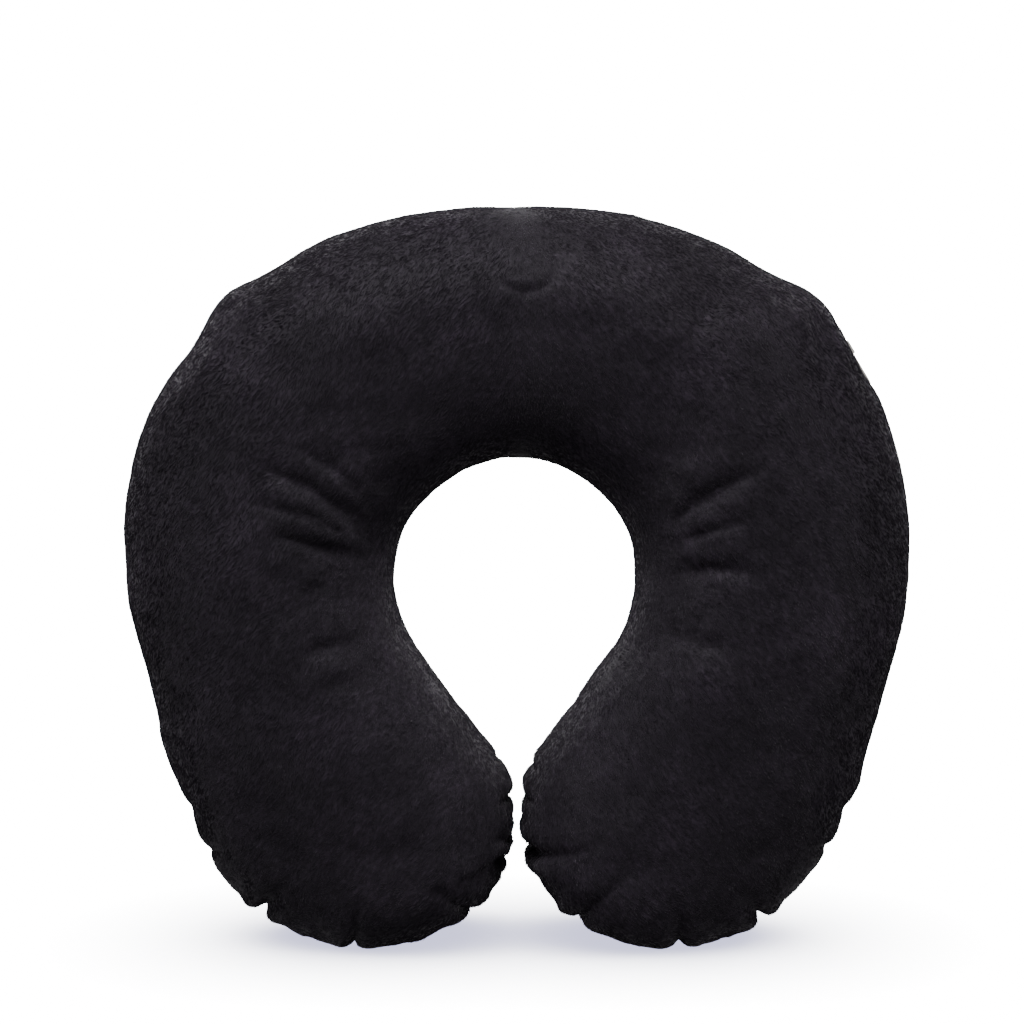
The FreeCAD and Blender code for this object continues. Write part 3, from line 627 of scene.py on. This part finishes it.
def plush():
    m = Nodes("plush")
    coords = m.tree.nodes.new("ShaderNodeTexCoord").outputs["Object"]
    split = m.add("ShaderNodeSeparateXYZ", Vector=coords)
    x, y, z = (m.math("MULTIPLY", split.outputs[k], 1000.0) for k in (0, 1, 2))
    folded = m.math("ABSOLUTE", x)
    lean = math.radians(NAP_LEAN)
    x_cos, x_sin = (m.math("MULTIPLY", folded, f(lean)) for f in (math.cos, math.sin))
    z_cos, z_sin = (m.math("MULTIPLY", z, f(lean)) for f in (math.cos, math.sin))
    across = m.math("ADD", x_cos, z_sin)
    along = m.math("SUBTRACT", z_cos, x_sin)
    streak_at = m.add("ShaderNodeCombineXYZ")
    m.set(streak_at, "X", m.math("MULTIPLY", across, 0.55))
    m.set(streak_at, "Y", m.math("MULTIPLY", along, 0.16))
    m.set(streak_at, "Z", m.math("MULTIPLY", y, 0.45))
    streaks = m.add(
        "ShaderNodeTexNoise",
        Vector=streak_at.outputs[0],
        Scale=1.0,
        Detail=4.0,
        Roughness=0.62,
        Distortion=0.4,
    )
    broad = m.add("ShaderNodeTexNoise", Vector=coords, Scale=22.0, Detail=3.0, Roughness=0.55)
    fine = m.add("ShaderNodeTexNoise", Vector=coords, Scale=900.0, Detail=2.0, Roughness=0.6)
    streak_share = m.math("MULTIPLY", streaks.outputs[0], 0.62)
    mix = m.math("ADD", streak_share, m.math("MULTIPLY", broad.outputs[0], 0.38))
    dark, middle, light = (0.0028, 0.0019, 0.0034), (0.0058, 0.0041, 0.0068), (0.0155, 0.0112, 0.0175)
    colour = m.ramp(mix, (0.32, dark), (0.52, middle), (0.72, light))
    rough = m.ramp(mix, (0.3, (0.75, 0.75, 0.75)), (0.7, (0.55, 0.55, 0.55)))
    height = m.math("ADD", streaks.outputs[0], m.math("MULTIPLY", fine.outputs[0], 0.5))
    bump = m.add("ShaderNodeBump", Strength=0.6, Distance=0.0009, Height=height)
    m.set_shader(
        Base_Color=colour,
        Roughness=rough,
        Sheen_Weight=0.1,
        Sheen_Roughness=0.4,
        Sheen_Tint=(0.78, 0.74, 0.82, 1),
        Specular_IOR_Level=0.1,
        Normal=bump.outputs[0],
    )
    return m.material


PLUSH = plush()
for obj in (front, back):
    obj.data.materials.append(PLUSH)
    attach(obj, "pillow")
for obj in PILE:
    obj.data.materials.append(PLUSH)
    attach(obj, "pillow")
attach(seam, "pillow")
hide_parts("cover_seam_thread")
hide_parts("cover_front_panel")
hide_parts("cover_back_panel")


def simple(name, base, second, scale, roughness, metallic=0.0, bump=0.2, stretch=(1, 1, 1)):
    """A finish whose colour, gloss and surface vary with noise at a stated scale (per metre)."""
    m = Nodes(name)
    coords = m.tree.nodes.new("ShaderNodeTexCoord").outputs["Object"]
    place = m.add("ShaderNodeMapping", Vector=coords, Scale=stretch)
    noise = m.add("ShaderNodeTexNoise", Vector=place.outputs[0], Scale=scale, Detail=5.0, Roughness=0.6)
    colour = m.ramp(noise.outputs[0], (0.35, base), (0.7, second))
    low, high = roughness
    rough = m.ramp(noise.outputs[0], (0.3, (low,) * 3), (0.7, (high,) * 3))
    surface = m.add("ShaderNodeBump", Strength=bump, Distance=0.0002, Height=noise.outputs[0])
    m.set_shader(Base_Color=colour, Roughness=rough, Metallic=metallic, Normal=surface.outputs[0])
    return m.material


def woven(name):
    m = Nodes(name)
    coords = m.tree.nodes.new("ShaderNodeTexCoord").outputs["Object"]
    split = m.add("ShaderNodeSeparateXYZ", Vector=coords)
    warp = m.math("SINE", m.math("MULTIPLY", split.outputs[1], 9000.0))
    weft = m.math("SINE", m.math("MULTIPLY", split.outputs[2], 7000.0))
    weave = m.math("MULTIPLY", warp, weft)
    noise = m.add("ShaderNodeTexNoise", Vector=coords, Scale=600.0, Detail=4.0)
    mix = m.math("ADD", m.math("MULTIPLY", weave, 0.25), noise.outputs[0])
    bump = m.add("ShaderNodeBump", Strength=0.5, Distance=0.0002, Height=mix)
    m.set_shader(
        Base_Color=m.ramp(mix, (0.3, (0.006, 0.006, 0.007)), (0.8, (0.02, 0.019, 0.022))),
        Roughness=0.75,
        Normal=bump.outputs[0],
    )
    return m.material


FINISHES = {
    "tape": woven("zip_tape"),
    "thread": simple("thread", (0.006, 0.006, 0.007), (0.02, 0.019, 0.022), 1500.0, (0.6, 0.8), bump=0.5),
    "coil": simple("coil_nylon", (0.006, 0.006, 0.007), (0.013, 0.013, 0.015), 400.0, (0.3, 0.45)),
    "nickel": simple(
        "nickel", (0.55, 0.53, 0.5), (0.68, 0.66, 0.63), 500.0, (0.16, 0.34), metallic=1.0, bump=0.1
    ),
    "film": simple("vinyl_film", (0.012, 0.014, 0.022), (0.02, 0.024, 0.036), 60.0, (0.3, 0.5)),
    "soft_vinyl": simple("soft_vinyl", (0.015, 0.017, 0.025), (0.022, 0.025, 0.035), 300.0, (0.4, 0.55)),
}
seam.data.materials.append(FINISHES["thread"])
slots = {part["node"]: part["material_slot"] for part in frame["record"]["subparts"]}
for name, node in frame["nodes"].items():
    if slots[name] in FINISHES:
        node.data.materials.clear()
        node.data.materials.append(FINISHES[slots[name]])


# ---- Floor, light and camera --------------------------------------------------------------------
def studio_floor():
    """A pale floor that curves up all round into the backdrop, and closes far overhead. It glows evenly and
    lights nothing; near the pillow its glow is darkened by ambient occlusion, a painted contact shadow.
    """
    profile = [(2.4 * (k / 8), 0.0) for k in range(1, 9)]
    for k in range(1, 13):
        a = math.radians(90 * k / 12)
        profile.append((2.4 + 2.6 * math.sin(a), 2.6 - 2.6 * math.cos(a)))
    for k in range(1, 12):
        a = math.radians(90 * k / 12)
        profile.append((5.0 * math.cos(a), 2.6 + 5.0 * math.sin(a)))
    count = 48
    points = [(0, 0, 0), (0, 0, 7600)]
    for radius, z in profile:
        for k in range(count):
            a = 2 * math.pi * k / count
            points.append((1000 * radius * math.cos(a), 1000 * radius * math.sin(a), 1000 * z))
    cap_faces = []
    last = 2 + count * (len(profile) - 1)
    for k in range(count):
        n = (k + 1) % count
        cap_faces += [(0, 2 + k, 2 + n), (1, last + n, last + k)]
    ring_faces = []
    for r in range(len(profile) - 1):
        for k in range(count):
            n = (k + 1) % count
            low, high = 2 + r * count, 2 + (r + 1) * count
            ring_faces.append((low + k, high + k, high + n, low + n))
    floor = object_from("floor", points, ring_faces)
    caps = object_from("floor_caps", points, cap_faces)
    m = Nodes("paper_with_painted_shadow")
    # painted contact shadow: the glow fades towards a dark blue-grey where ambient occlusion finds the pillow
    # close by
    shade = m.add("ShaderNodeAmbientOcclusion", Distance=0.16)
    shade.samples = 24
    coords = m.tree.nodes.new("ShaderNodeTexCoord").outputs["Object"]
    noise = m.add("ShaderNodeTexNoise", Vector=coords, Scale=3.0)
    painted_shadow_mask = m.math("POWER", shade.outputs["AO"], 3.2)
    painted_shadow_tone = m.ramp(painted_shadow_mask, (0.0, (0.045, 0.045, 0.065)), (1.0, (1.0, 1.0, 1.0)))
    glow = m.math("ADD", 24.0, m.math("MULTIPLY", noise.outputs[0], 1.0))
    m.set_shader(
        Base_Color=(0.0, 0.0, 0.0, 1),
        Roughness=1.0,
        Specular_IOR_Level=0.0,
        Emission_Color=painted_shadow_tone,
        Emission_Strength=glow,
    )
    # hidden from diffuse, glossy and shadow rays, so the floor casts no light and its shadow is only painted
    for obj in (floor, caps):
        obj.data.materials.append(m.material)
        obj.visible_diffuse = obj.visible_glossy = obj.visible_shadow = False


studio_floor()


def lamp(name, size, energy, at, towards, colour=(1, 1, 1)):
    data = bpy.data.lights.new(name, "AREA")
    data.shape = "RECTANGLE"
    data.size, data.size_y = size
    data.energy = energy
    data.color = colour
    obj = bpy.data.objects.new(name, data)
    bpy.context.scene.collection.objects.link(obj)
    obj.location = at
    obj.rotation_mode = "QUATERNION"
    obj.rotation_quaternion = (Vector(towards) - Vector(at)).to_track_quat("-Z", "Y")
    return obj


CENTRE = (0.0, 0.0, 0.2)
lamp("key_top", (1.1, 0.6), 48, (-0.15, -0.8, 1.5), CENTRE)
lamp("left", (0.5, 1.2), 17, (-1.5, -0.8, 0.75), CENTRE)
lamp("right", (0.5, 1.2), 14, (1.5, -0.8, 0.7), CENTRE)
lamp("back_left", (0.7, 0.9), 26, (-1.0, 1.3, 1.2), CENTRE)
lamp("back_right", (0.7, 0.9), 26, (1.0, 1.3, 1.2), CENTRE)

world = bpy.data.worlds.new("world")
world.use_nodes = True
sky = world.node_tree
height = sky.nodes.new("ShaderNodeSeparateXYZ")
sky.links.new(sky.nodes.new("ShaderNodeTexCoord").outputs["Generated"], height.inputs[0])
tent = sky.nodes.new("ShaderNodeMapRange")
tent.inputs["From Min"].default_value = -1.0
tent.inputs["To Min"].default_value, tent.inputs["To Max"].default_value = 0.22, 1.1
sky.links.new(height.outputs["Z"], tent.inputs["Value"])
sky.links.new(tent.outputs[0], sky.nodes["Background"].inputs["Strength"])
sky.nodes["Background"].inputs["Color"].default_value = (1, 1, 1, 1)
bpy.context.scene.world = world

camera = bpy.data.cameras.new("camera")
camera.lens, camera.sensor_width = 85.0, 36.0
eye = bpy.data.objects.new("camera", camera)
bpy.context.scene.collection.objects.link(eye)
bpy.context.scene.camera = eye
eye.rotation_mode = "QUATERNION"
LOOK_AT = Vector((-0.0027, 0.0, 0.2145))
TILT = math.radians(4.0)
DISTANCE = 1.21
eye.location = LOOK_AT + Vector((0.0, -math.cos(TILT), math.sin(TILT))) * DISTANCE
eye.rotation_quaternion = (LOOK_AT - eye.location).to_track_quat("-Z", "Y")
camera.clip_start, camera.clip_end = 0.01, 50.0
